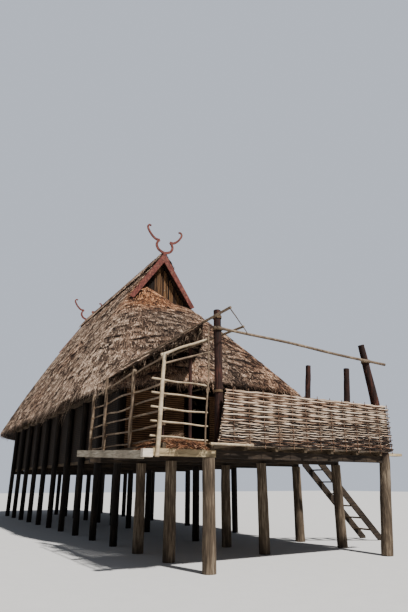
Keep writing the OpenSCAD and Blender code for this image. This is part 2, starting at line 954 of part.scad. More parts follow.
tall_corner_post();
right_corner_post();
deck_stub_posts();
deck_stilts();
deck_bearers();
deck_joists();
deck_floor();
house_posts_left();
house_posts_right();
house_stilts_middle();
house_bearers();
house_joists();
house_floor();
left_wall();
right_wall();
back_wall();
front_wall_left();
front_wall_right();
front_wall_head();
wall_plates();
tie_beams();
king_posts();
ridge_pole();
rafters_left();
rafters_right();
purlins_left();
purlins_right();
thatch_left();
thatch_right();
thatch_front_end();
thatch_back_end();
ridge_cap();
front_gable_screen();
back_gable_screen();
front_barge_boards();
back_barge_boards();
wing_thatch();
wing_poles();
balcony_beams();
balcony_floor();
balcony_posts();
balcony_rails();
fence_stakes();
fence_wattle();
fence_rails();
front_pole();
stair_stringers();
stair_treads();
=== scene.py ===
import json
import math
import random
import bmesh
import bpy
import numpy as np
from mathutils import Matrix, Vector, kdtree, noise


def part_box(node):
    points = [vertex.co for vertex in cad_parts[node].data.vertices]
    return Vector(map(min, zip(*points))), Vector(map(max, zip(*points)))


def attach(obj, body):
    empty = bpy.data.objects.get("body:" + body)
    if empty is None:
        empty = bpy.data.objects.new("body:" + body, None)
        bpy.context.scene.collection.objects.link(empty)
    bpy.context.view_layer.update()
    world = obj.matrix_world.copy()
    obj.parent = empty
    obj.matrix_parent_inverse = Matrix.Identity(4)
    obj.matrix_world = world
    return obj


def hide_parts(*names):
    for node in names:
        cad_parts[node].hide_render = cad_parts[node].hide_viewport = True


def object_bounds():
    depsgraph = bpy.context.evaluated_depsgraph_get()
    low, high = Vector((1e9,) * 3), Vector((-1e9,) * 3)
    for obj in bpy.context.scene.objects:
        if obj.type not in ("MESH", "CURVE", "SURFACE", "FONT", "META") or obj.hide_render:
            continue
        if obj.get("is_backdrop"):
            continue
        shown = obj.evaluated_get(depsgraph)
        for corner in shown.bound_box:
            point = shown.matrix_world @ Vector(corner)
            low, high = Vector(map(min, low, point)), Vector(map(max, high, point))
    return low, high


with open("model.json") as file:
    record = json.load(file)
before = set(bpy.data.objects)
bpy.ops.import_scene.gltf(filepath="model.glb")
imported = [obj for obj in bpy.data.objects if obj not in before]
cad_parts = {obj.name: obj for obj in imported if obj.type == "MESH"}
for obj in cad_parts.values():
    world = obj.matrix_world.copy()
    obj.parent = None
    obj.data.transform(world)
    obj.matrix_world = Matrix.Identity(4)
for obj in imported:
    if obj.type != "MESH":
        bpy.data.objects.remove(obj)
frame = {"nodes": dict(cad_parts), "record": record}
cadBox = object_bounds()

rnd = random.Random(7)
noise.seed_set(5)  # noise_vector follows the clock otherwise
print("frame loaded,", len(frame["nodes"]), "nodes")


# helpers for colours and shader maths
def clamp(x):
    return max(0.0, min(1.0, x))


def rgb(r, g, b):  # screen colour 0 to 255, as linear light
    light = [((c / 255 + 0.055) / 1.055) ** 2.4 if c > 10 else c / 255 / 12.92 for c in (r, g, b)]
    return (*light, 1.0)


def grey(v):
    return (v, v, v, 1)


def stopsOf(places, colours):  # ramp stops from screen colours
    return [(place, rgb(*colour)) for place, colour in zip(places, colours)]


# a shader socket that takes + and * and makes the Math nodes for them
class Sock:
    def __init__(self, graph, out):
        self.graph = graph
        self.out = out

    def maths(self, operation, a, b):
        return self.graph.node("ShaderNodeMath", {"operation": operation}, {0: a, 1: b})

    def __add__(self, other):
        return self.maths("ADD", self, other)

    def __radd__(self, other):
        return self.maths("ADD", other, self)

    def __mul__(self, other):
        return self.maths("MULTIPLY", self, other)

    def __rmul__(self, other):
        return self.maths("MULTIPLY", other, self)


# a node tree, of a material or of the world
class Graph:
    def __init__(self, tree):
        self.tree = tree

    def plug(self, socket, value):
        if isinstance(value, Sock):
            self.tree.links.new(value.out, socket)
        else:
            socket.default_value = value

    def node(self, kind, settings=None, values=None, out=0):
        n = self.tree.nodes.new(kind)
        for key, value in (settings or {}).items():
            if key == "stops":
                ramp = n.color_ramp
                while len(ramp.elements) < len(value):
                    ramp.elements.new(0.5)
                for element, (place, colour) in zip(ramp.elements, value):
                    element.position = place
                    element.color = colour
            else:
                setattr(n, key, value)
        for key, value in (values or {}).items():
            self.plug(n.inputs[key], value)
        return Sock(self, n.outputs[out])


class Finish(Graph):
    def __init__(self, name):
        self.mat = bpy.data.materials.new(name)
        self.mat.use_nodes = True
        super().__init__(self.mat.node_tree)
        self.bsdf = self.tree.nodes["Principled BSDF"]

    def coords(self, stretch=(1, 1, 1)):
        place = self.node("ShaderNodeTexCoord", out="Object")
        return self.node("ShaderNodeMapping", None, {"Vector": place, "Scale": stretch})

    def attribute(self, name):
        return self.node("ShaderNodeAttribute", {"attribute_name": name}, out="Fac")

    def noise(self, scale, detail=4.0, rough=0.55, stretch=(1, 1, 1)):
        values = {"Vector": self.coords(stretch), "Scale": scale, "Detail": detail, "Roughness": rough}
        return self.node("ShaderNodeTexNoise", None, values)

    def wave(self, axis, scale, distortion):
        values = {"Vector": self.coords(), "Scale": scale, "Distortion": distortion}
        return self.node("ShaderNodeTexWave", {"bands_direction": axis}, values)

    def ramp(self, fac, stops):
        return self.node("ShaderNodeValToRGB", {"stops": stops}, {"Fac": fac})

    def mix(self, fac, a, b, how="MIX"):
        return self.node("ShaderNodeMix", {"data_type": "RGBA", "blend_type": how}, {0: fac, 6: a, 7: b}, 2)

    def done(self, colour, rough, height=None, strength=0.5, distance=0.01):
        self.plug(self.bsdf.inputs["Base Color"], colour)
        self.plug(self.bsdf.inputs["Roughness"], rough)
        self.plug(self.bsdf.inputs["Specular IOR Level"], 0.25)
        if height is not None:
            values = {"Strength": strength, "Distance": distance, "Height": height}
            self.plug(self.bsdf.inputs["Normal"], self.node("ShaderNodeBump", None, values))
        return self.mat


# finishes, each from its dark, middle and pale screen colours
timber = {
    "places": (0.30, 0.50, 0.68), "grain": (0.28, 3.2), "crack": (0.12, 2.2),  # stretch along, across
    "footFrom": 2.0, "footTo": 2.25,
}


def alongAxis(axis, along, across):
    return [along if i == axis else across for i in range(3)]


def timberFinish(name, colours, strength=0.6, axis=2, foot=None):
    f = Finish(name)
    grain = f.noise(9, 8, 0.62, alongAxis(axis, *timber["grain"]))
    patch = f.noise(1.6, 3, stretch=(1, 1, 0.6))
    cracks = f.noise(22, 5, 0.7, alongAxis(axis, *timber["crack"]))
    fac = grain * 0.65 + patch * 0.35
    colour = f.ramp(fac, stopsOf(timber["places"], colours))
    if foot:  # the weathered part below the deck
        z = f.node("ShaderNodeSeparateXYZ", None, {"Vector": f.coords()}, "Z")
        above = f.node("ShaderNodeMapRange", None,
                       {"Value": z, "From Min": timber["footFrom"], "From Max": timber["footTo"]})
        colour = f.mix(above, f.ramp(fac, stopsOf(timber["places"], foot)), colour)
    split = f.ramp(cracks, [(0.34, grey(0.25)), (0.44, grey(1))])
    colour = f.mix(0.8, colour, split, "MULTIPLY")
    return f.done(colour, 0.8 + grain * 0.15, grain * 0.4 + cracks, strength, 0.02)


def bambooFinish(name, colours):
    f = Finish(name)
    grain = f.noise(14, 6, 0.6)
    patch = f.noise(2.5, 3)
    colour = f.ramp(grain * 0.5 + patch * 0.5, stopsOf((0.32, 0.5, 0.66), colours))
    return f.done(colour, 0.55 + grain * 0.2, grain, 0.25, 0.006)


def weaveFinish(name, colours):
    f = Finish(name)
    wide = f.wave("Z", 5.0, 1.5)
    tall = f.wave("Y", 2.4, 1.0)
    patch = f.noise(3, 5)
    colour = f.ramp(wide * 0.35 + tall * 0.25 + patch * 0.4, stopsOf((0.25, 0.5, 0.75), colours))
    return f.done(colour, 0.85, wide * 0.6 + tall * 0.4, 0.6, 0.01)


# old paint, rubbed through in places
def boardFinish(name, colours, worn):
    f = Finish(name)
    grain = f.noise(12, 7, 0.65)
    rubbed = f.noise(3.5, 4, 0.7)
    paint = f.ramp(grain, stopsOf((0.3, 0.52, 0.72), colours))
    colour = f.mix(f.ramp(rubbed, [(0.56, grey(0)), (0.7, grey(0.6))]), paint, rgb(*worn))
    return f.done(colour, 0.7 + grain * 0.2, grain + rubbed, 0.4, 0.008)


# sticks whose shade comes from their tint attribute
def stickFinish(name, places, colours, tintShare, noiseScale, stretch, strength):
    f = Finish(name)
    grain = f.noise(noiseScale, 5, 0.6, stretch)
    colour = f.ramp(f.attribute("tint") * tintShare + grain * (1 - tintShare), stopsOf(places, colours))
    return f.done(colour, 0.8, grain, strength, 0.006)


thatch = {
    "grey": ((30, 21, 17), (82, 65, 54), (132, 110, 94), (198, 176, 156)),
    "rust": ((38, 22, 14), (104, 64, 42), (156, 104, 68), (212, 164, 122)),
    "sheet": (0.34, 0.84), "straw": (0.30, 0.82),  # where the ramp starts and ends
}


def thatchColour(f, fac, low, high):
    places = [low, low + 0.3 * (high - low), low + 0.6 * (high - low), high]
    greyed, rusty = (f.ramp(fac, stopsOf(places, thatch[key])) for key in ("grey", "rust"))
    return f.mix(f.attribute("warm"), greyed, rusty)


def sheetFinish(name):
    f = Finish(name)
    grain = f.noise(15, 5, 0.75)
    slits = f.noise(3.6, 3, 0.6, (1, 1, 5))
    fac = grain * 0.42 + f.attribute("tint") * 0.34 + f.noise(0.9, 4, 0.6) * 0.24
    # pits and slits darken the colour: painted shade in the holes and gaps of the straw
    pits = f.ramp(grain, [(0.41, (0.06, 0.05, 0.04, 1)), (0.49, grey(1))])
    cracks = f.ramp(slits, [(0.35, (0.06, 0.05, 0.05, 1)), (0.41, grey(1))])
    colour = f.mix(0.75, thatchColour(f, fac, *thatch["sheet"]), pits, "MULTIPLY")
    colour = f.mix(0.85, colour, cracks, "MULTIPLY")
    return f.done(colour, 0.92, grain + pits * 0.5 + cracks * 0.6, 1.0, 0.05)


def strawFinish(name):
    f = Finish(name)
    fac = f.attribute("tint") * 0.80 + f.noise(0.9, 4, 0.6) * 0.20
    return f.done(thatchColour(f, fac, *thatch["straw"]), 0.92, f.noise(30, 2), 0.3, 0.004)


# stiltGrey and sawnGrey are darkened: partly the wood's own grey, partly painted shade under the deck and
# fence
stiltGrey = ((34, 27, 21), (82, 70, 57), (140, 126, 108))
sawnGrey = ((34, 27, 20), (72, 60, 46), (118, 102, 82))
finishes = {
    "stilt_timber": timberFinish("StiltTimber", stiltGrey),
    # dark_timber is darkened: partly the wood's own red-brown, partly painted shade of the posts' unlit sides
    "dark_timber": timberFinish("DarkTimber", ((14, 9, 8), (42, 25, 21), (96, 58, 48)), foot=stiltGrey),
    # house_timber is near black: painted shade on the posts and stilts under the eaves
    "house_timber": timberFinish("ShadedHouseTimber", ((9, 7, 6), (24, 19, 16), (52, 43, 35))),
    "sawn_timber": timberFinish("SawnTimber", sawnGrey, 0.4),
    # sawn_across is a darker copy of the sawn timber: painted shade on the bearers, tie beams and stringers
    # under the deck
    "sawn_across": timberFinish("ShadedSawnAcross", ((15, 11, 8), (38, 30, 23), (70, 58, 45)), 0.4, 0),
    "sawn_lengthwise": timberFinish("SawnLengthwise", sawnGrey, 0.4, 1),
    # pale_timber and outer_board are pale copies of the sawn timber: painted light on the sunlit plank, board
    # and beam end
    "pale_timber": timberFinish("LitPaleTimber", ((88, 76, 56), (150, 134, 104), (198, 182, 150)), 0.4, 0),
    "outer_board": timberFinish("LitOuterBoard", ((92, 82, 70), (150, 140, 124), (196, 186, 168)), 0.4, 1),
    "cut_end": timberFinish("CutEnd", ((150, 134, 118), (206, 192, 176), (232, 222, 208)), 0.2, 0),
    "bamboo": bambooFinish("Bamboo", ((108, 92, 72), (168, 150, 124), (206, 190, 162))),
    "floor_strip": bambooFinish("FloorStrip", ((44, 35, 27), (92, 77, 60), (136, 118, 94))),
    # pole is darker than bamboo: weathering on the wing's poles, and painted shade on the balcony's side
    # uprights and rails
    "pole": bambooFinish("WeatheredShadedPole", ((58, 46, 38), (104, 88, 72), (156, 138, 116))),
    "lashing": bambooFinish("Lashing", ((60, 46, 34), (104, 84, 62), (140, 118, 92))),
    # split_bamboo is near black: painted shade on the walls under the eaves; front_weave is the same weave
    # left lighter for the front walls
    "split_bamboo": weaveFinish("ShadedSplitBamboo", ((8, 5, 4), (24, 17, 12), (50, 37, 27))),
    "front_weave": weaveFinish("FrontWeave", ((26, 17, 12), (84, 60, 41), (140, 106, 76))),
    "red_board": boardFinish("RedBoard", ((50, 24, 21), (98, 50, 43), (136, 84, 72)), (116, 88, 70)),
    "reed": stickFinish("Reed", (0.2, 0.45, 0.8), ((22, 15, 10), (64, 44, 29), (124, 92, 62)),
                        0.6, 10, (2, 2, 0.3), 0.4),
    "twig": stickFinish("Twig", (0.12, 0.26, 0.44, 0.80),
                        ((26, 18, 14), (94, 66, 50), (174, 148, 125), (226, 209, 190)),
                        0.72, 26, (0.25, 1, 1), 0.5),
    "thatch": sheetFinish("Thatch"),
    "straw": strawFinish("Straw"),
}
slotOf = {s["node"]: s["material_slot"] for s in frame["record"]["subparts"]}
nodesOfFinish = {  # solids whose finish is not the one of their slot
    "front_weave": ("front_wall_left", "front_wall_right", "front_wall_head"),
    "house_timber": ("house_posts_left", "house_posts_right", "house_stilts_middle"),
    "sawn_across": ("deck_bearers", "house_bearers", "tie_beams", "stair_stringers"),
    "sawn_lengthwise": ("deck_joists", "house_joists", "wall_plates", "balcony_beams", "stair_treads"),
}
for nodeName, nodeObj in frame["nodes"].items():
    finishName = next((key for key, nodes in nodesOfFinish.items() if nodeName in nodes), slotOf[nodeName])
    nodeObj.data.materials.clear()
    nodeObj.data.materials.append(finishes[finishName])
print("finishes made")


# helpers for pieces
def keep(name, mesh, finish, *stands, slot=None):
    obj = bpy.data.objects.new(name, mesh)
    bpy.context.scene.collection.objects.link(obj)
    mesh.materials.clear()
    mesh.materials.append(finishes[finish])
    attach(obj, "root")
    if stands:
        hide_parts(*stands)


def addBlock(bm, centre, size):
    bmesh.ops.create_cube(bm, size=1, matrix=Matrix.Translation(centre) @ Matrix.Diagonal((*size, 1)))


def bevelAll(bm, offset, segments):
    bmesh.ops.bevel(bm, geom=bm.edges[:], offset=offset, affect="EDGES", segments=segments, profile=0.5,
                    material=-1)


def fromBmesh(bm, name, smooth=False):
    mesh = bpy.data.meshes.new(name)
    bm.to_mesh(mesh)
    bm.free()
    mesh.polygons.foreach_set("use_smooth", [smooth] * len(mesh.polygons))
    return mesh


# joined round poles along paths of (point, radius) pairs, made from one curve with a bevel
def tubes(name, paths, sides):
    curve = bpy.data.curves.new(name, "CURVE")
    curve.dimensions = "3D"
    curve.bevel_depth = 1.0
    curve.bevel_resolution = sides // 2 - 2
    curve.use_fill_caps = True
    for path in paths:
        spline = curve.splines.new("POLY")
        spline.points.add(len(path) - 1)
        for point, (co, radius) in zip(spline.points, path):
            point.co = (*co, 1)
            point.radius = radius
    temp = bpy.data.objects.new(name, curve)
    bpy.context.scene.collection.objects.link(temp)
    mesh = bpy.data.meshes.new_from_object(temp.evaluated_get(bpy.context.evaluated_depsgraph_get()))
    bpy.data.objects.remove(temp)
    bpy.data.curves.remove(curve)
    mesh.name = name
    mesh.polygons.foreach_set("use_smooth", [True] * len(mesh.polygons))
    return mesh


crook = {"pace": 2.2, "knot": 0.10, "knotPace": 1.9}


def bent(a, b, r0, r1, wobble, steps, seed):  # (point, radius) pairs of a crooked pole from a to b
    a = Vector(a)
    b = Vector(b)
    out = []
    for i in range(steps + 1):
        t = i / steps
        drift = noise.noise_vector(Vector((seed * 3.7, t * crook["pace"], seed * 1.3)))
        sway = drift * wobble * math.sin(math.pi * t)
        knot = 1 + crook["knot"] * max(0, math.sin(t * steps * crook["knotPace"] + seed)) ** 8
        out.append((a.lerp(b, t) + sway, (r0 + (r1 - r0) * t) * knot))
    return out


def roughen(mesh, depth, scale, seed):  # never below the ground
    normals = [v.normal.copy() for v in mesh.vertices]
    for v, n in zip(mesh.vertices, normals):
        q = Vector((v.co.x * scale[0] + seed, v.co.y * scale[1], v.co.z * scale[2]))
        v.co += n * depth * (noise.noise(q) + 0.6 * noise.noise(q * 2.7))
        v.co.z = max(0.0, v.co.z)
    mesh.update()


def floatLayer(mesh, name, values):
    layer = mesh.attributes.new(name, "FLOAT", "POINT")
    layer.data.foreach_set("value", np.asarray(values, dtype=np.float32))


def strawTemplate(blunt):  # a three-sided spike along Z, or one that widens to a flat end
    bm = bmesh.new()
    root, tip = (0.0, 1.0) if blunt else (1.0, 0.0)
    bmesh.ops.create_cone(bm, cap_ends=True, segments=3, radius1=root, radius2=tip, depth=1.0)
    bmesh.ops.remove_doubles(bm, verts=bm.verts, dist=0.0001)
    bmesh.ops.translate(bm, verts=bm.verts, vec=(0, 0, 0.5))
    co = np.array([v.co[:] for v in bm.verts])
    faces = [[v.index for v in f.verts] for f in bm.faces]
    bm.free()
    return co, faces


# many straws as one mesh, each a (root, direction, up, length, width, tint, warmth)
def scatter(name, straws, blunt=False):
    co, faces = strawTemplate(blunt)
    roots, dirs, ups, lengths, widths, tint, warm = (np.array(column) for column in zip(*straws))
    dirs /= np.linalg.norm(dirs, axis=1)[:, None]
    side = np.cross(dirs, ups)
    side /= np.linalg.norm(side, axis=1)[:, None]
    up = np.cross(side, dirs)
    verts = (roots[:, None, :]
             + side[:, None, :] * (co[None, :, 0, None] * widths[:, None, None])
             + up[:, None, :] * (co[None, :, 1, None] * widths[:, None, None] * 0.5)
             + dirs[:, None, :] * (co[None, :, 2, None] * lengths[:, None, None]))
    corners = len(co)
    allFaces = [[i * corners + q for q in face] for i in range(len(straws)) for face in faces]
    mesh = bpy.data.meshes.new(name)
    mesh.from_pydata(verts.reshape(-1, 3).tolist(), [], allFaces)
    mesh.update()
    rootShade = 0.30 * (1 - co[:, 2])
    floatLayer(mesh, "tint", (tint[:, None] - rootShade[None, :]).reshape(-1))
    floatLayer(mesh, "warm", np.repeat(warm, corners))
    return mesh


# floor, light and camera
view = {
    "cameraAt": (-5.07, -8.43, 1.5), "pitch": 20.0, "turn": 30.5,
    "focalPixels": 490.0, "photoHeight": 612.0, "sensor": 36.0, "clipEnd": 400,
    "keyDirection": (0.14, -0.74, 1.10), "keyPower": 7.9, "keySoftness": 2.5,
    "keyColour": (1.0, 0.965, 0.91), "skyColour": (0.80, 0.87, 1.0, 1),
    "skyPower": 0.24, "backdropPower": 0.75,
    "floorHalf": 90.0, "floorTone": 0.52,
}


def stage():
    bm = bmesh.new()
    bmesh.ops.create_grid(bm, x_segments=1, y_segments=1, size=view["floorHalf"])
    ground = bpy.data.objects.new("Ground", fromBmesh(bm, "Ground"))
    bpy.context.scene.collection.objects.link(ground)
    f = Finish("PaleFloor")
    tone = view["floorTone"]
    colour = f.ramp(f.noise(3, 4), [(0.3, grey(tone * 0.96)), (0.7, grey(tone))])
    ground.data.materials.append(f.done(colour, 0.9))
    ground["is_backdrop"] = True


def lights():
    key = bpy.data.lights.new("Key", "SUN")
    key.energy = view["keyPower"]
    key.angle = math.radians(view["keySoftness"])
    key.color = view["keyColour"]
    keyObj = bpy.data.objects.new("Key", key)
    bpy.context.scene.collection.objects.link(keyObj)
    keyObj.rotation_euler = Vector(view["keyDirection"]).to_track_quat("Z", "Y").to_euler()
    world = bpy.data.worlds.new("Studio")
    world.use_nodes = True
    sky = Graph(world.node_tree)
    background = sky.tree.nodes["Background"]
    seen = sky.node("ShaderNodeLightPath", out="Is Camera Ray")
    power = sky.node("ShaderNodeMapRange", None,
                     {"Value": seen, "To Min": view["skyPower"], "To Max": view["backdropPower"]})
    sky.plug(background.inputs["Color"], view["skyColour"])
    sky.plug(background.inputs["Strength"], power)
    bpy.context.scene.world = world


def camera():
    cam = bpy.data.cameras.new("Camera")
    cam.sensor_width = view["sensor"]
    cam.lens = cam.sensor_width * view["focalPixels"] / view["photoHeight"]
    cam.clip_end = view["clipEnd"]
    camObj = bpy.data.objects.new("Camera", cam)
    bpy.context.scene.collection.objects.link(camObj)
    camObj.location = view["cameraAt"]
    camObj.rotation_euler = (math.radians(90 + view["pitch"]), 0, math.radians(-view["turn"]))
    bpy.context.scene.camera = camObj


stage()
lights()
camera()
print("floor, light and camera set")


# roof form, shared by everything that lies on it: t runs from the ridge down to the eave, d is a depth
roof = {
    "ridgeZ": 10.05, "eaveZ": 3.94, "eaveHalf": 3.47, "bulge": 0.17, "gableShare": 0.345, "square": 2.9,
    "apseDepth": 5.8, "apseTop": 0.33, "curve": 0.95, "evenness": 1.5,
    "gableY": 7.43, "ridgeLen": 9.65, "verge": 0.30, "thick": 0.19,
}
midX = (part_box("ridge_cap")[0][0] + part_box("ridge_cap")[1][0]) / 2
nearEnd = roof["gableY"] + roof["verge"]
farEnd = roof["gableY"] + roof["ridgeLen"] - roof["verge"]
rise = roof["ridgeZ"] - roof["eaveZ"]
pitch = math.atan2(rise, roof["eaveHalf"])


def slopeW(t, d=0.0):
    return roof["eaveHalf"] * t + (4 * roof["bulge"] * t * (1 - t) - d) * math.sin(pitch)


def slopeZ(t, d=0.0):
    return roof["ridgeZ"] - rise * t + (4 * roof["bulge"] * t * (1 - t) - d) * math.cos(pitch)


def endDepth(t):
    k = max(0.0, (t - roof["gableShare"]) / (1 - roof["gableShare"]))
    return roof["apseTop"] + (roof["apseDepth"] - roof["apseTop"]) * k ** roof["curve"]


def squared(v):
    return math.copysign(abs(v) ** (2 / roof["square"]), v)


def endAt(front, a, t, d=0.0):
    depth = (endDepth(t) - d * math.sin(pitch)) * squared(math.sin(a))
    y = nearEnd - depth if front else farEnd + depth
    return Vector((midX + slopeW(t, d) * squared(math.cos(a)), y, slopeZ(t, d)))


def endPoint(front, u, t, d=0.0):  # u runs round the end in even steps
    k = 2 * clamp(u) - 1
    return endAt(front, math.pi / 2 * (1 + math.copysign(abs(k) ** roof["evenness"], k)), t, d)


wing = {
    "head": Vector((0.1922, 0.11, 4.90)), "tail": Vector((-1.05, 7.37, 3.96)),  # the pole under its free edge
    "hang": Vector((-0.12, -0.01, -0.055)), "sag": 0.075, "dip": 0.02, "thick": 0.09,
    "shareFrom": 0.763, "shareTo": 0.93, "turnFrom": 93.0, "turnTo": 179.0,  # where it meets the main roof
}


def wingOuter(u):
    drop = Vector((0, 0, -wing["sag"] * math.sin(math.pi * min(1.0, 0.15 + 0.75 * u))))
    return wing["head"].lerp(wing["tail"], 0.03 + 0.91 * u) + wing["hang"] + drop


def wingInner(u):
    t = wing["shareFrom"] + (wing["shareTo"] - wing["shareFrom"]) * u
    return endAt(True, math.radians(wing["turnFrom"] + (wing["turnTo"] - wing["turnFrom"]) * u), t, -0.01)


def wingPoint(u, v, d=0.0):  # u along the free edge, v from the free edge up to the main roof
    return wingOuter(u).lerp(wingInner(u), v) + Vector((0, 0, -wing["dip"] * math.sin(math.pi * v) - d))


# the faces of the roof as point(u, t), u across the face and t down it
def sideFace(side, y0, length, tFrom=0.0, tShare=1.0, d=0.0):
    return lambda u, t: Vector((midX + side * slopeW(tFrom + tShare * t, d), y0 + length * u,
                                slopeZ(tFrom + tShare * t, d)))


def endFace(front, d=0.0):
    g = roof["gableShare"]
    return lambda u, t: endPoint(front, u, g + (1 - g) * t, d)


def wingFace(d=0.0):
    return lambda u, t: wingPoint(u, 1 - t, d)


def wingRim(end, inward, lift):  # hangs past the wing's edge at u = end
    return lambda u, t: (wingPoint(end, u) + Vector((0, 0, lift))
                         + (wingPoint(end, u) - wingPoint(inward, u)) * (t - 1) * 0.6)


# shades of the thatch
wingLightZone = {"from": 0.56, "fromFade": 0.05, "to": 0.88, "toFade": 0.04, "down": 0.8, "downFade": 0.08}
rust = {"left": 0.55, "near": 0.2, "reach": 1.7, "power": 1.5, "everywhere": 0.03, "patches": 0.26,
        "right": 0.34, "rightFrom": -0.6, "rightFade": 2.2, "endFade": 1.5}


def paintedWingLight(u, t, name):  # where painted light goes: the front end's eave under the wing, which lies in the wing's shadow
    if "front" not in name:
        return 0.0
    after = clamp((u - wingLightZone["from"]) / wingLightZone["fromFade"])
    before = clamp((wingLightZone["to"] - u) / wingLightZone["toFade"])
    return after * before * clamp((t - wingLightZone["down"]) / wingLightZone["downFade"])


def ripple(p):  # painted light and shade of the stepped straw ends: bands long across the slope and short down it
    return (noise.noise(Vector((p[0] * 2.0, p[1] * 2.0, p[2] * 11)))
            + 0.7 * noise.noise(Vector((p[0] * 5.0, p[1] * 5.0, p[2] * 24))))


def warmth(p):  # orange near the foot of the front gable, rust on the front end's right
    hot = Vector((midX - rust["left"], roof["gableY"] - rust["near"], slopeZ(roof["gableShare"])))
    orange = max(0.0, 1 - (Vector(p) - hot).length / rust["reach"]) * rust["power"]
    right = clamp((p[0] - midX - rust["rightFrom"]) / rust["rightFade"])
    right *= rust["right"] * clamp((nearEnd - p[1]) / rust["endFade"])
    return clamp(orange + right + rust["everywhere"] + rust["patches"] * noise.noise(Vector(p) * 0.7))


# thatched sheets, each a grid bent over the roof form, roughened in courses and given its thickness
sheets = {
    "side": {"grid": (150, 84), "thick": 0.13, "courses": 20, "lump": 0.020, "step": 0.026},
    "end": {"grid": (172, 72), "thick": 0.13, "courses": 17, "lump": 0.020, "step": 0.026},
    "hood": {"grid": (8, 50), "thick": 0.13, "courses": 8, "lump": 0.012, "step": 0.02},
    "wing": {"grid": (130, 40), "thick": 0.045, "courses": 6, "lump": 0.018, "step": 0.024},
    "ridge": {"grid": (220, 10), "thick": 0.06, "courses": 2, "lump": 0.012, "step": 0.02},
    "mound": {"grid": (60, 14), "thick": 0.05, "courses": 2, "lump": 0.02, "step": 0.02},
}


def sheet(name, face, form, warmAt, *stands, under=0.18):
    bm = bmesh.new()
    bm.loops.layers.uv.new("UVMap")
    cols, rows = form["grid"]
    bmesh.ops.create_grid(bm, x_segments=cols, y_segments=rows, size=0.5, calc_uvs=True)
    where = [(v.co.x + 0.5, 0.5 - v.co.y) for v in bm.verts]
    for v, (u, t) in zip(bm.verts, where):
        v.co = face(u, t)
    bm.normal_update()
    if sum(f.normal.z for f in bm.faces) < 0:
        bmesh.ops.reverse_faces(bm, faces=bm.faces)
        bm.normal_update()
    moves = []
    tints = []
    for v, (u, t) in zip(bm.verts, where):
        calm = min(1, 25 * min(t, 1 - t) + 0.2) * min(1, 50 * min(u, 1 - u) + 0.15)  # towards the edges
        lump = noise.noise(v.co * 2.1) + 0.6 * noise.noise(v.co * 6.5) + 0.4 * noise.noise(v.co * 13)
        broken = 1.5 * noise.noise(Vector((v.co.x * 1.3, v.co.y * 1.3, 3))) + 0.6 * noise.noise(v.co * 5)
        course = (t * form["courses"] + broken) % 1.0
        moves.append(v.normal * ((form["lump"] * lump + form["step"] * (course - 0.8)) * calm))
        # the tint is painted shade and light: darker just under each course's edge, paler on raised lumps
        shade = 0.5 + 0.22 * lump + (0.10 if course > 0.25 else -0.28 * (1 - course / 0.25))
        shade += 0.30 * paintedWingLight(u, t, name) + 0.40 * ripple(v.co)
        tints.append(clamp(shade))
    for v, move in zip(bm.verts, moves):
        v.co += move
    bmesh.ops.solidify(bm, geom=bm.faces[:] + bm.edges[:] + bm.verts[:], thickness=form["thick"])
    mesh = fromBmesh(bm, name, True)
    tints += [under] * (len(mesh.vertices) - len(tints))
    floatLayer(mesh, "tint", tints)
    floatLayer(mesh, "warm", [warmAt(v.co) for v in mesh.vertices])
    keep(name, mesh, "thatch", *stands)


tags = {-1: "l", 1: "r"}


def mainThatch():
    for side, label in ((-1, "left"), (1, "right")):
        slope = sideFace(side, nearEnd, farEnd - nearEnd, d=0.01)
        sheet(f"thatch_{label}_sheet", slope, sheets["side"], warmth, f"thatch_{label}")
    for front, label in ((True, "front"), (False, "back")):
        sheet(f"thatch_{label}_sheet", endFace(front, 0.01), sheets["end"], warmth, f"thatch_{label}_end")
        for side, tag in tags.items():  # the roof's edges beside the gable
            y0 = roof["gableY"] + 0.01 if front else farEnd
            hood = sideFace(side, y0, roof["verge"] - 0.01, 0.0, roof["gableShare"], 0.02)
            sheet(f"gable_hood_{label}_{tag}", hood, sheets["hood"], lambda p: 0.15)
    sheet("wing_sheet", wingFace(0.01), sheets["wing"], warmth, "wing_thatch", under=0.45)
    for side, tag in tags.items():
        top = sideFace(side, roof["gableY"], roof["ridgeLen"], 0.0, 0.075, -0.07)
        sheet(f"ridge_sheet_{tag}", top, sheets["ridge"], warmth, "ridge_cap")


mainThatch()
print("thatch sheets made")


# straw over the sheets: single straws, tufts of three and fringes along an edge
strawKinds = {
    "lying": {"blades": 1, "band": (0.01, 0.97), "length": (0.22, 0.50), "width": (0.006, 0.014)},
    "tuft": {"blades": 3, "band": (0.012, 0.985), "length": (0.10, 0.22), "width": (0.009, 0.019)},
    "fringe": {"blades": 3, "band": (0.97, 1.0), "width": (0.005, 0.013)},
}
strawTint = {"spread": 0.22, "bands": 0.55, "alongFront": 0.12, "wingLight": 0.25, "wingLightWarm": 0.3, "under": 0.22}
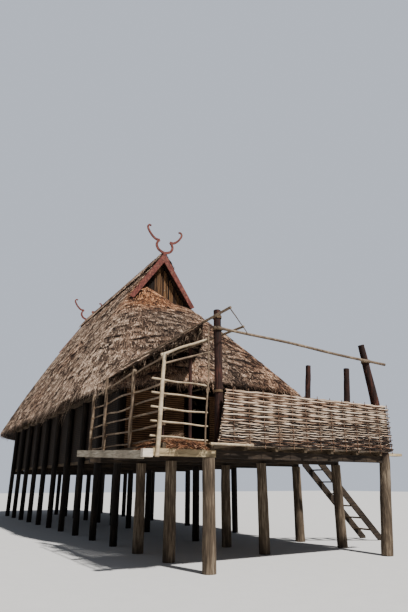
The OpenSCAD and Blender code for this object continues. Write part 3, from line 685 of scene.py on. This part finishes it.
# how many of each, dark gaps, and how short and how pale the eave's fringe is
cover = {
    "left": {"lying": 7200, "tuft": 19000, "fringe": 6600, "gaps": 190, "shrink": 1.0, "tone": 0.62},
    "right": {"lying": 3800, "tuft": 10500, "fringe": 3800, "gaps": 170, "shrink": 1.0, "tone": 0.62},
    "front": {"lying": 7200, "tuft": 21000, "fringe": 7800, "gaps": 260, "shrink": 1.0, "tone": 0.62},
    "back": {"lying": 3000, "tuft": 8500, "fringe": 4200, "gaps": 150, "shrink": 1.0, "tone": 0.62},
    # the wing's paler fringe tone is painted light: the fringe hangs in the wing's own shade
    "wing": {"lying": 2600, "tuft": 6500, "fringe": 4200, "gaps": 14, "shrink": 0.35, "tone": 0.80},
}
extra = {"quickShare": 0.4, "seamTufts": 1800, "ridgeStraws": 2600, "ridgeTufts": 2500,
         "ridgeReach": (0.25, 0.45)}
gapForm = {"courses": 17, "clear": 0.034, "step": 0.03, "width": 0.042, "short": 0.14, "long": 0.62,
           "reach": (-0.04, 0.01, 0.06, 0.11, 0.16), "back": 0.21}


# places over a face, as dense where it is stretched as where it is not
def evenSpots(face, r, count, tFrom, tTo):
    cols = 60
    rows = 24
    cells = []
    areas = []
    for i in range(cols):
        for j in range(rows):
            t0, t1 = (tFrom + (tTo - tFrom) * q / rows for q in (j, j + 1))
            a = face(i / cols, t0)
            areas.append((face((i + 1) / cols, t0) - a).cross(face(i / cols, t1) - a).length)
            cells.append((i, j))
    return [((i + r.random()) / cols, tFrom + (tTo - tFrom) * (j + r.random()) / rows)
            for i, j in r.choices(cells, areas, k=count)]


def directions(face, u, t):  # down the face, across it and out of it
    down = (face(u, min(1.0, t + 0.01)) - face(u, t - 0.01)).normalized()
    across = (face(min(1, u + 0.002), t) - face(max(0, u - 0.002), t)).normalized()
    up = across.cross(down).normalized()
    return down, across, -up if up.z < 0 else up


def fringeBlade(r, p, down, across, up, lean, hang, shrink):
    length = (0.09 + 0.24 * hang + 0.05 * r.random()) * shrink
    way = down * (0.6 + 0.4 * r.random()) + across * (lean + r.gauss(0, 0.10))
    way += Vector((0, 0, -0.7 * r.random()))
    root = p - down * 0.12 + across * r.gauss(0, 0.012)
    under = r.random() < 0.6
    root += -up * roof["thick"] * 0.8 * r.random() * shrink if under else up * r.uniform(0, 0.02)
    return root, way, length, under


def tuftBlade(r, p, down, across, up, lean, reach):
    length = r.uniform(*reach)
    way = down + across * (lean + r.gauss(0, 0.22)) + up * r.uniform(-0.02, 0.09)
    return p - down * 0.06 + across * r.gauss(0, 0.03) - up * 0.004, way, length


def lyingBlade(r, p, down, across, up, reach):
    length = r.uniform(*reach)
    way = down + across * r.gauss(0, 0.16) + up * r.uniform(-0.03, 0.04)
    return p - down * length * 0.4 + up * r.uniform(-0.02, 0.012), way, length


def aboveGap(p, down, gaps):  # a straw near a gap is moved up, so that it ends above it
    for q in gapForm["reach"]:
        if gaps.find(p + down * q)[2] < gapForm["clear"]:
            return p - down * (gapForm["back"] - q)
    return p


def strawField(name, count, face, kind, seed, reach=None, shrink=1.0, tone=0.54, gaps=None):
    r = random.Random(seed)
    form = strawKinds[kind]
    straws = []
    for u, t in evenSpots(face, r, count // form["blades"], *form["band"]):
        p = face(u, t)
        down, across, up = directions(face, u, t)
        if gaps is not None:
            p = aboveGap(p, down, gaps)
        hot = warmth(p)
        # painted light: straw in the wing's shadow is drawn paler and warmer
        wingLight = paintedWingLight(u, t, name)
        bands = strawTint["bands"] * ripple(p)
        along = strawTint["alongFront"] * (u - 0.4) if "front" in name else 0.0
        lean = r.gauss(0, 0.14)
        hang = r.random() ** 2 * (2.2 if r.random() < 0.04 else 1.0)
        for _ in range(form["blades"]):
            under = False
            if kind == "fringe":
                root, way, length, under = fringeBlade(r, p, down, across, up, lean, hang, shrink)
            elif kind == "tuft":
                root, way, length = tuftBlade(r, p, down, across, up, lean, form["length"])
            else:
                root, way, length = lyingBlade(r, p, down, across, up, reach or form["length"])
            width = r.uniform(*form["width"])
            # fringe blades rooted under the edge are darker: painted shade beneath the eave
            light = (tone - strawTint["under"] if under else tone) + bands + along + strawTint["wingLight"] * wingLight
            tint = clamp(r.gauss(light, strawTint["spread"]))
            warm = clamp(hot * r.uniform(0.7, 1.3) + strawTint["wingLightWarm"] * wingLight)
            straws.append((root, way, up, length, width, tint, warm))
    keep(name, scatter(name, straws, kind == "tuft"), "straw")


# short gaps where a course of straw has slipped, lying across the slope, drawn as dark blades: partly the
# straw's dark butt ends, partly painted shade in the gap
def crackField(name, count, face, seed):
    r = random.Random(seed)
    straws = []
    tree = kdtree.KDTree(count * 40)
    for u, t in evenSpots(face, r, count, 0.06, 0.93):
        t = (round(t * gapForm["courses"]) + r.gauss(0, 0.18)) / gapForm["courses"]
        p = face(u, t)
        down, across, up = directions(face, u, t)
        way = (across * r.choice((-1, 1)) + down * r.gauss(0.05, 0.16)).normalized()
        size = r.random() ** 1.6
        length = gapForm["short"] + gapForm["long"] * size
        for i in range(int(length / gapForm["step"])):
            tree.insert(p + way * gapForm["step"] * i, i)
        width = gapForm["width"] * (0.6 + 0.7 * size)
        straws.append((p - up * 0.002, way, up, length, width, r.uniform(0.0, 0.10), 0.2))
    tree.balance()
    keep(name, scatter(name, straws), "straw")
    return tree


def strawCover():
    share = 1.0
    span = farEnd - nearEnd
    g = roof["gableShare"]
    faces = {"left": sideFace(-1, nearEnd, span), "right": sideFace(1, nearEnd, span),
             "front": endFace(True), "back": endFace(False), "wing": wingFace()}
    for i, (label, face) in enumerate(faces.items()):
        form = cover[label]
        gaps = crackField(f"cracks_{label}", form["gaps"], face, 61 + i)
        strawField(f"straw_{label}", int(form["lying"] * share), face, "lying", 11 + i, gaps=gaps)
        strawField(f"tufts_{label}", int(form["tuft"] * share), face, "tuft", 31 + i, gaps=gaps)
        strawField(f"eave_{label}", int(form["fringe"] * share), face, "fringe", 51 + i,
                   shrink=form["shrink"], tone=form["tone"])
    for side, tag in tags.items():  # over the seam of slope and rounded end
        seam = sideFace(side, nearEnd - 0.16, 0.26, g, 1 - g)
        strawField(f"seam_tufts_{tag}", int(extra["seamTufts"] * share), seam, "tuft", 85 + side)
    fringes = {
        "left_long_fringe": (900, sideFace(-1, nearEnd - 2.0, 6.0), 75, 1.8, 0.62),
        # the paler tone of the wing's front fringe is painted light
        "wing_front_fringe": (1200, wingRim(0.0, 0.05, 0.02), 71, 0.45, 0.8),
        "wing_tail_fringe": (2400, wingRim(1.0, 0.95, 0.0), 72, 1.1, 0.6),
        "wing_long_fringe": (420, lambda u, t: wingPoint(0.02 + 0.6 * u, 1 - t, 0.03), 73, 1.3, 0.6),
    }
    for name, (count, face, seed, shrink, tone) in fringes.items():
        strawField(name, int(count * share), face, "fringe", seed, shrink=shrink, tone=tone)
    for side, tag in tags.items():
        top = sideFace(side, roof["gableY"], roof["ridgeLen"], 0.002, 0.085, -0.08)
        strawField(f"ridge_straw_{tag}", int(extra["ridgeStraws"] * share), top, "lying", 81 + side,
                   reach=extra["ridgeReach"])
        strawField(f"ridge_tufts_{tag}", int(extra["ridgeTufts"] * share), top, "tuft", 83 + side)


strawCover()
print("straw laid")


# loose orange straw heaped at the foot of the near gable, higher on its left
mound = {"high": 0.58, "rightEnd": 0.95, "rightFade": 1.6, "leftEnd": -1.25, "leftFade": 0.35, "down": 0.08,
         "tufts": 3600, "straws": 1200}


def moundPoint(u, t):
    outer = endPoint(True, 0.95 - 0.90 * u, roof["gableShare"] + mound["down"] * t, -0.02)
    x = outer.x - midX
    height = (mound["high"] * clamp((mound["rightEnd"] - x) / mound["rightFade"])
              * min(1.0, max(0.1, (x - mound["leftEnd"]) / mound["leftFade"])))
    inner = Vector((midX + 0.88 * x, nearEnd - 0.07, outer.z + height + 0.02))
    return inner.lerp(outer, t) + Vector((0, -0.05, 0.22 * height + 0.03)) * math.sin(math.pi * t)


sheet("gable_mound", moundPoint, sheets["mound"], lambda p: 0.4 + 0.6 * warmth(p))
strawField("mound_straw", mound["tufts"], moundPoint, "tuft", 91)
strawField("mound_lying", mound["straws"], moundPoint, "lying", 92, reach=(0.12, 0.25))
print("gable foot heaped")


# rough timber of the deck's front, along stations of (point, radius)
deck = {"width": 4.9, "floorZ": 2.25, "bay": 1.6, "logSides": 22, "logStep": 0.09}


def logAlong(stations):
    out = []
    for (a, ra), (b, rb) in zip(stations, stations[1:]):
        a = Vector(a)
        b = Vector(b)
        steps = max(2, int((b - a).length / deck["logStep"]))
        for i in range(steps):
            out.append((a.lerp(b, i / steps), ra + (rb - ra) * i / steps))
    last, radius = stations[-1]
    out.append((Vector(last), radius))
    return out


def logPiece(name, paths, depth, scale, seed, finish, node):
    mesh = tubes(name, [logAlong(path) for path in paths], deck["logSides"])
    roughen(mesh, depth, scale, seed)
    keep(name, mesh, finish, node)


def logs():
    w = deck["width"]
    z = deck["floorZ"]
    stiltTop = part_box("deck_bearers")[0][2]
    feet = ((0, 0), (0, 1), (0, 2), (w / 2, 1), (w / 2, 2), (w, 1), (w, 2))
    stilts = [[((x, y * deck["bay"], 0), 0.132), ((x, y * deck["bay"], stiltTop), 0.118)] for x, y in feet]
    tall = [((0.30, 0.11, z), 0.09), ((0.315, 0.11, z + 1.2), 0.086), ((0.29, 0.11, 5.06), 0.077)]
    corner = [((w - 0.25, 0, 0), 0.131), ((w + 0.03, 0, stiltTop), 0.124),
              ((w + 0.03, 0, stiltTop + 0.15), 0.122), ((w - 0.06, 0, z + 1.15), 0.106),
              ((w - 0.34, 0, 4.85), 0.075)]
    stubs = [[((w - 0.22, 0.9, z), 0.085), ((w + 0.02, 0.9, z + 2.2), 0.077)],
             [((w - 0.22, 2.45, z), 0.085), ((w + 0.08, 2.45, z + 2.6), 0.077)]]
    stubs += [[((x, y, z), 0.045), ((x, y, 4.66), 0.042)] for x, y in ((0.6, 1.85), (0.09, 2.28))]
    logPiece("stilt_logs", stilts, 0.010, (7, 7, 1.0), 2, "stilt_timber", "deck_stilts")
    logPiece("tall_post_log", [tall], 0.009, (8, 8, 1.1), 5, "dark_timber", "tall_corner_post")
    logPiece("corner_post_log", [corner], 0.010, (7, 7, 1.0), 9, "dark_timber", "right_corner_post")
    logPiece("stub_logs", stubs, 0.009, (8, 8, 1.1), 13, "dark_timber", "deck_stub_posts")


logs()
print("logs made")


# woven fence
fence = {
    "stakes": 13, "rows": 21, "twigsPerRow": 3, "twig": 0.0087, "stake": 0.014,
    "lower": 0.075, "left": 0.13, "steps": 66, "backTwig": 0.0165, "backY": 0.034,
    "backTint": -0.12, "stakeTint": 0.20, "darkest": 0.22,
}


def wattle():
    lo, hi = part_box("fence_stakes")
    wLo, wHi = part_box("fence_wattle")
    y0 = (lo[1] + hi[1]) / 2
    first = lo[0] + fence["stake"]
    last = hi[0] - fence["stake"]
    gap = (last - first) / (fence["stakes"] - 1)
    z0 = wLo[2] - fence["lower"]
    row = (wHi[2] - z0) / fence["rows"]
    steps = fence["steps"]
    paths = []
    tints = []
    for k in range(fence["rows"]):
        side = 1 if k % 2 == 0 else -1
        start = wLo[0] + 0.2 * k / fence["rows"] - fence["left"]
        # the back twigs are a dark layer standing for shade: painted shade seen through the gaps of the weave
        for lift in (-0.3, 0.3):  # dark twigs behind close the gaps
            z = z0 + (k + 0.5 + lift) * row
            backX = np.linspace(start + 0.03, wHi[0] - 0.08, steps + 1)
            paths.append([((x, y0 + fence["backY"], z), fence["backTwig"]) for x in backX])
            tints.append(fence["backTint"])
        for j in range(fence["twigsPerRow"]):
            r = fence["twig"] * rnd.uniform(0.8, 1.25)
            mid = z0 + (k + 0.5) * row + (j - 1) * 0.30 * row
            a = start - rnd.uniform(-0.05, 0.0)
            b = wHi[0] - rnd.uniform(0.0, 0.07)
            path = []
            for i in range(steps + 1):
                x = a + (b - a) * i / steps
                weave = math.cos(math.pi * (x - first) / gap)
                sway = 0.017 * noise.noise(Vector((x * 2.1, k * 1.3 + j * 0.4, 4)))
                z = mid + 0.26 * row * (0.5 - abs(weave)) * (j - 1) + side * weave * 0.16 * row + sway
                y = y0 + side * (fence["stake"] + r + 0.001) * weave * (0.7 + 0.15 * (j % 2))
                path.append(((x, y, z), r * (1 + 0.2 * noise.noise(Vector((x * 5, k, j))))))
            paths.append(path)
            # the lowest twig of each row is dark: partly dark bark, partly painted shade under the twigs
            # above
            tints.append(fence["darkest"] * rnd.random() if j == 0 else 0.24 + 0.76 * rnd.random())
    mesh = tubes("wattle_twigs", paths, 6)
    perPath = len(mesh.vertices) // len(paths)
    wood = [t if t < fence["darkest"]
            else 0.10 + 0.72 * t + 0.45 * noise.noise(Vector((v.co.x * 1.4, v.co.z * 31, t * 5)))
            for t, v in zip(np.repeat(tints, perPath), mesh.vertices)]
    floatLayer(mesh, "tint", wood)
    keep("wattle_twigs", mesh, "twig", "fence_wattle")
    stakes = []
    for i in range(fence["stakes"]):
        x = first + i * gap
        stakes.append(bent((x, y0, lo[2]), (x, y0, hi[2] - rnd.uniform(0, 0.03)), 0.009, 0.008, 0.0, 6, i))
    mesh = tubes("stake_poles", stakes, 8)
    floatLayer(mesh, "tint", np.full(len(mesh.vertices), fence["stakeTint"]))
    keep("stake_poles", mesh, "twig", "fence_stakes")


wattle()
print("fence woven")


# balcony and wing poles, each (from, to, start radius, end radius, wobble, steps, seed)
balcony = {
    "x": -0.98, "y": (0.06, 1.6, 3.25, 4.25), "top": (3.92, 3.91, 4.0, 3.73),
    "rails": 5, "railZ": 2.31, "railPitch": 0.265,
    "nearUpright": ((-1.14, -0.10, 1.97), (-0.965, 0.06, 3.93), 0.043, 0.037, 0.07, 14, 9),
    "topRail": ((-1.02, 0.10, 3.90), (0.02, 0.03, 4.36), 0.028, 0.022, 0.03, 9, 33),
    "sidePoles": (((-0.96, 4.2, 3.66), (-0.96, 1.5, 3.86), 0.019, 0.02, 0.05, 8, 31),
                  ((-0.93, 1.75, 3.80), (-0.95, -0.05, 3.90), 0.019, 0.02, 0.03, 8, 32),
                  ((-0.1, -0.03, 2.2), (0.0, -0.02, 4.62), 0.018, 0.014, 0.05, 9, 34)),
}
rafters = {
    "single": (((-0.95, 0.12, 3.74), (0.2, 0.15, 4.14), 0.02, 0.018, 0.03, 8, 35),
               ((1.13, 0.3, 4.89), (0.15, 3.3, 4.5), 0.030, 0.024, 0.03, 10, 36),
               ((0.28, -0.42, 4.95), (0.98, -0.03, 4.62), 0.012, 0.009, 0.02, 6, 37)),
    "edge": (-0.075, 0.62), "from": 0.01,
    "count": 14, "pitch": 0.065, "slant": 0.05, "up": 0.9, "past": 0.10, "form": (0.016, 0.014, 0.05, 8),
    "hanging": 9, "hangPitch": 0.03, "hangForm": (0.009, 0.006, 0.10, 6),
}


def railHeight(i):
    return balcony["railZ"] + balcony["railPitch"] * i


def balconyPoles():
    lo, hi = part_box("balcony_rails")
    x = (lo[0] + hi[0]) / 2
    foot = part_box("balcony_beams")[1][2]
    uprights = []
    for i, (y, top) in enumerate(zip(balcony["y"][1:], balcony["top"][1:])):
        head = (balcony["x"] + rnd.uniform(-0.02, 0.03), y, top)
        uprights.append(bent((balcony["x"], y, foot), head, 0.041, 0.036, 0.05, 12, i))
    # the side uprights and rails take the darker pole finish: painted shade, as they stand under the wing
    keep("side_uprights", tubes("side_uprights", uprights, 10), "pole", "balcony_posts")
    keep("near_upright", tubes("near_upright", [bent(*balcony["nearUpright"])], 10), "bamboo")
    near = []
    side = []
    for i in range(balcony["rails"]):
        z = railHeight(i)
        side.append(bent((x, lo[1], z), (x + 0.02, hi[1], z + 0.04), 0.021, 0.016, 0.09, 16, i + 1))
        near.append(bent((-1.25, 0.00, z + 0.03), (-0.03, -0.01, z - 0.01), 0.018, 0.015, 0.03, 9, i + 20))
    near.append(bent(*balcony["topRail"]))
    side += [bent(*pole) for pole in balcony["sidePoles"]]
    keep("near_rails", tubes("near_rails", near, 10), "bamboo")
    keep("side_rails", tubes("side_rails", side, 10), "pole", "balcony_rails")


def wingPoles():
    poles = [bent(*pole) for pole in rafters["single"]]
    head, tail = (wing["head"].lerp(wing["tail"], share) for share in rafters["edge"])
    poles.append(bent(head, tail, 0.030, 0.020, 0.02, 16, 38))
    for i in range(rafters["count"]):
        u = rafters["from"] + rafters["pitch"] * i
        a = wingPoint(u, 0.0, wing["thick"] + 0.02)
        b = wingPoint(min(1, u + rafters["slant"]), rafters["up"], wing["thick"] + 0.03)
        past = (a - b).normalized() * rnd.uniform(0.0, rafters["past"])
        poles.append(bent(a + past, b, *rafters["form"], i + 40))
    for i in range(rafters["hanging"]):
        a = wingPoint(rafters["from"] + rafters["hangPitch"] * i, 0.02, wing["thick"])
        b = a + Vector((rnd.uniform(-0.10, 0.10), rnd.uniform(-0.12, 0.06), -rnd.uniform(0.12, 0.42)))
        poles.append(bent(a, b, *rafters["hangForm"], i + 60))
    keep("wing_rafters", tubes("wing_rafters", poles, 8), "pole", "wing_poles")
    lo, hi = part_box("front_pole")
    a = (lo[0], lo[1] + 0.19, hi[2] - 0.032)
    b = (hi[0], hi[1] - 0.17, lo[2] + 0.032)
    pole = bent(a, b, 0.029, 0.034, 0.04, 24, 50)
    keep("lashed_pole", tubes("lashed_pole", [pole], 12), "pole", "front_pole")


# cord lashings round the poles, each (centre, radius, turns, cord radius, height)
ties = (((0.295, 0.10, 4.64), 0.098, 5, 0.007, 0.08), ((4.64, -0.02, 4.42), 0.108, 5, 0.007, 0.08),
        ((0.29, 0.11, 4.9), 0.094, 4, 0.007, 0.06), ((0.30, 0.11, 3.3), 0.096, 3, 0.006, 0.05))
railTie = (0.052, 2, 0.005, 0.03)


def coilRound(centre, radius, turns, cord, height):
    axis = Vector((0, 0, 1))
    side = axis.orthogonal().normalized()
    other = axis.cross(side)
    steps = int(turns * 14)
    out = []
    for i in range(steps + 1):
        a = 2 * math.pi * turns * i / steps
        p = Vector(centre) + side * radius * math.cos(a) + other * radius * math.sin(a)
        out.append((p + axis * height * (i / steps - 0.5), cord))
    return out


def lashings():
    coils = [coilRound(*tie) for tie in ties]
    for y in balcony["y"]:
        for i in range(balcony["rails"]):
            coils.append(coilRound((balcony["x"] + 0.02, y, railHeight(i)), *railTie))
    keep("lashings", tubes("lashings", coils, 6), "lashing")


balconyPoles()
wingPoles()
lashings()
print("poles and lashings made")


# split bamboo floors, of strips along one axis
floors = {
    "deck_strips": {"node": "deck_floor", "across": 1, "width": 0.085},
    "balcony_strips": {"node": "balcony_floor", "across": 0, "width": 0.075},
}


def stripFloor(name, node, across, width, gap=0.008):
    lo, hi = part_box(node)
    span = hi[across] - lo[across]
    count = int(span / width)
    bm = bmesh.new()
    for i in range(count):
        size = [hi[axis] - lo[axis] for axis in range(2)]
        size[across] = span / count - gap
        centre = [(lo[axis] + hi[axis]) / 2 for axis in range(2)]
        centre[across] = lo[across] + span * (i + 0.5) / count
        thick = (hi[2] - lo[2]) * rnd.uniform(0.8, 1.0)
        addBlock(bm, (*centre, lo[2] + thick / 2), (*size, thick))
    bevelAll(bm, 0.004, 1)
    keep(name, fromBmesh(bm, name), "floor_strip", node, slot="split_bamboo")


for floorName, floorForm in floors.items():
    stripFloor(floorName, **floorForm)
print("floors laid")


# reeds in the gables
reedForm = {"count": 36, "out": 0.02, "share": 0.97, "shortest": 0.06, "lean": 0.015,
            "form": (0.026, 0.020, 0.01, 4)}


def reeds():
    paths = []
    tints = []
    lo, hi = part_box("front_gable_screen")
    half = (hi[0] - lo[0]) / 2
    lean = reedForm["lean"]
    for y in (lo[1] - reedForm["out"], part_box("back_gable_screen")[1][1] + reedForm["out"]):
        for i in range(reedForm["count"]):
            k = -1 + 2 * (i + 0.5) / reedForm["count"]
            x = midX + half * k
            top = lo[2] + (hi[2] - lo[2]) * (1 - abs(k)) * reedForm["share"]
            if top - lo[2] > reedForm["shortest"]:
                head = (x + rnd.uniform(-lean, lean), y, top)
                paths.append(bent((x, y, lo[2]), head, *reedForm["form"], i))
                tints.append(rnd.random())
    mesh = tubes("gable_reeds", paths, 6)
    floatLayer(mesh, "tint", np.repeat(tints, len(mesh.vertices) // len(paths)))
    keep("gable_reeds", mesh, "reed")


reeds()


# loose boards: low and high corners, finish, and how much the far end rises
boards = {
    # edge_plank, outer_board and board_end are pale skins over the dark timber: painted light on their sunlit
    # faces
    "edge_plank": ((-1.205, -0.060, 1.985), (0.13, -0.047, 2.122), "pale_timber", 0.0),
    "cut_end": ((-1.40, -0.064, 1.962), (-1.205, 0.048, 2.105), "cut_end", 0.0),
    "outer_board": ((-1.342, 0.055, 1.93), (-1.322, 4.12, 2.08), "outer_board", 0.215),  # over the bearers
    "board_end": ((4.90, 0.00, 2.150), (5.59, 0.17, 2.212), "pale_timber", 0.0),
}


def looseBoards():
    for name, (lo, hi, finish, lift) in boards.items():
        lo = Vector(lo)
        hi = Vector(hi)
        bm = bmesh.new()
        addBlock(bm, (lo + hi) / 2, hi - lo)
        bevelAll(bm, 0.003, 2)
        for v in bm.verts:
            v.co.z += lift * (v.co.y - lo.y) / (hi.y - lo.y)
        keep(name, fromBmesh(bm, name), finish, slot="sawn_timber")


looseBoards()


# straw fallen on the balcony, with a dry frond that sticks up from it
heap = {"centre": (-0.47, 0.70, 2.15), "half": (0.60, 0.92, 0.17), "straws": 3600, "overhang": 1.06,
        "frond": 60, "frondAt": (-0.72, 0.55, 2.24), "frondWay": (0.75, -0.2, 0.42)}


def heapBody():
    bm = bmesh.new()
    place = Matrix.Translation(heap["centre"]) @ Matrix.Diagonal((*heap["half"], 1))
    bmesh.ops.create_uvsphere(bm, u_segments=32, v_segments=16, radius=1.0, matrix=place)
    bmesh.ops.bisect_plane(bm, geom=bm.verts[:] + bm.edges[:] + bm.faces[:],
                           plane_co=(0, 0, heap["centre"][2] + 0.01), plane_no=(0, 0, -1), clear_outer=True)
    bmesh.ops.holes_fill(bm, edges=[e for e in bm.edges if e.is_boundary])
    mesh = fromBmesh(bm, "straw_heap", True)
    roughen(mesh, 0.03, (3, 3, 3), 1)
    floatLayer(mesh, "tint", [0.35] * len(mesh.vertices))
    floatLayer(mesh, "warm", [0.9] * len(mesh.vertices))
    keep("straw_heap", mesh, "thatch")


def heapStraw():
    r = random.Random(5)
    cx, cy, cz = heap["centre"]
    hx, hy, hz = heap["half"]
    straws = []
    for _ in range(heap["straws"]):
        a = r.uniform(0, 2 * math.pi)
        q = r.random() ** 0.5 * heap["overhang"]
        z = cz + hz * math.sqrt(max(0.0, 1 - q * q)) + r.uniform(0.0, 0.03)
        root = (cx + hx * q * math.cos(a), cy + hy * q * math.sin(a), z)
        turn = r.uniform(0, 2 * math.pi)
        way = (math.cos(turn), math.sin(turn), r.uniform(-0.25, 0.15) - 0.35 * (q > 0.95))
        straws.append((root, way, (0, 0, 1), r.uniform(0.08, 0.26), r.uniform(0.004, 0.009),
                       clamp(r.gauss(0.62, 0.22)), r.uniform(0.6, 1.0)))
    x, y, z = heap["frondAt"]
    for _ in range(heap["frond"]):
        root = (x + r.gauss(0, 0.03), y + r.gauss(0, 0.03), z)
        way = tuple(k + r.gauss(0, spread) for k, spread in zip(heap["frondWay"], (0.12, 0.10, 0.12)))
        straws.append((root, way, (0, 0, 1), r.uniform(0.25, 0.55), r.uniform(0.004, 0.008),
                       r.uniform(0.6, 1.0), 0.4))
    keep("fallen_straw", scatter("fallen_straw", straws), "straw")


heapBody()
heapStraw()
print("reeds, boards and fallen straw made")


for key, box in (("cad", cadBox), ("visual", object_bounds())):
    print(key, [round(v, 3) for p in box for v in p])
